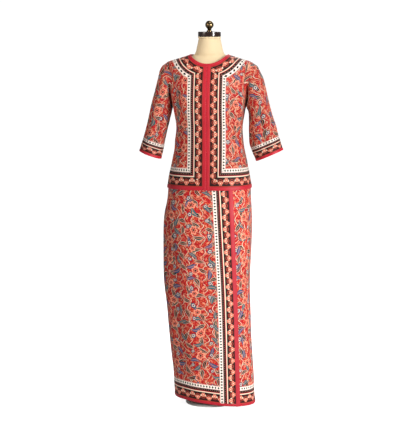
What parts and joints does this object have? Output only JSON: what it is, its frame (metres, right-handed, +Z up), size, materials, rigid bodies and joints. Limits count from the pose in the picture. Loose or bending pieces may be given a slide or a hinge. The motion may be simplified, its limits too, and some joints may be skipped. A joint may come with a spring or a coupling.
{
  "type": "sarong kebaya on a limbless dress form",
  "caption": "Fitted printed jacket with three-quarter sleeves over a wrapped ankle-length skirt, both edged in crimson, on a limbless dress form with pole and base.",
  "frame": {"origin": "centre of the base's underside, on the floor", "axes": "+Z up; the garment's front faces -Y and the wearer's right is at -X"},
  "size_m": [0.5482, 0.254, 1.4658],
  "materials": {
    "print_cloth": "soft matte printed cotton",
    "crimson_band": "plain cotton satin with a slight sheen",
    "form_cover": "matte linen cover",
    "cap_lacquer": "dark gloss lacquer",
    "finial_metal": "polished, aged",
    "pole_steel": "brushed",
    "base_paint": "satin paint"
  },
  "bodies": {
    "root": {"kebaya_front_left": "print_cloth", "kebaya_front_right": "print_cloth", "kebaya_back": "print_cloth", "sleeve_left": "print_cloth", "sleeve_right": "print_cloth", "neck_band": "crimson_band", "front_band_left": "crimson_band", "front_band_right": "crimson_band", "kebaya_hem_band": "crimson_band", "cuff_band_left": "crimson_band", "cuff_band_right": "crimson_band", "sarong_outer_lap": "print_cloth", "sarong_under_lap": "print_cloth", "sarong_back": "print_cloth", "sarong_waistband": "print_cloth", "sarong_lap_band": "crimson_band", "sarong_hem_band_outer": "crimson_band", "sarong_hem_band_under": "crimson_band", "sarong_hem_band_back": "crimson_band", "form_body": "form_cover", "form_neck_rim": "form_cover", "form_cap": "cap_lacquer", "form_finial": "finial_metal", "form_pole": "pole_steel", "form_base": "base_paint"}
  },
  "joints": []
}
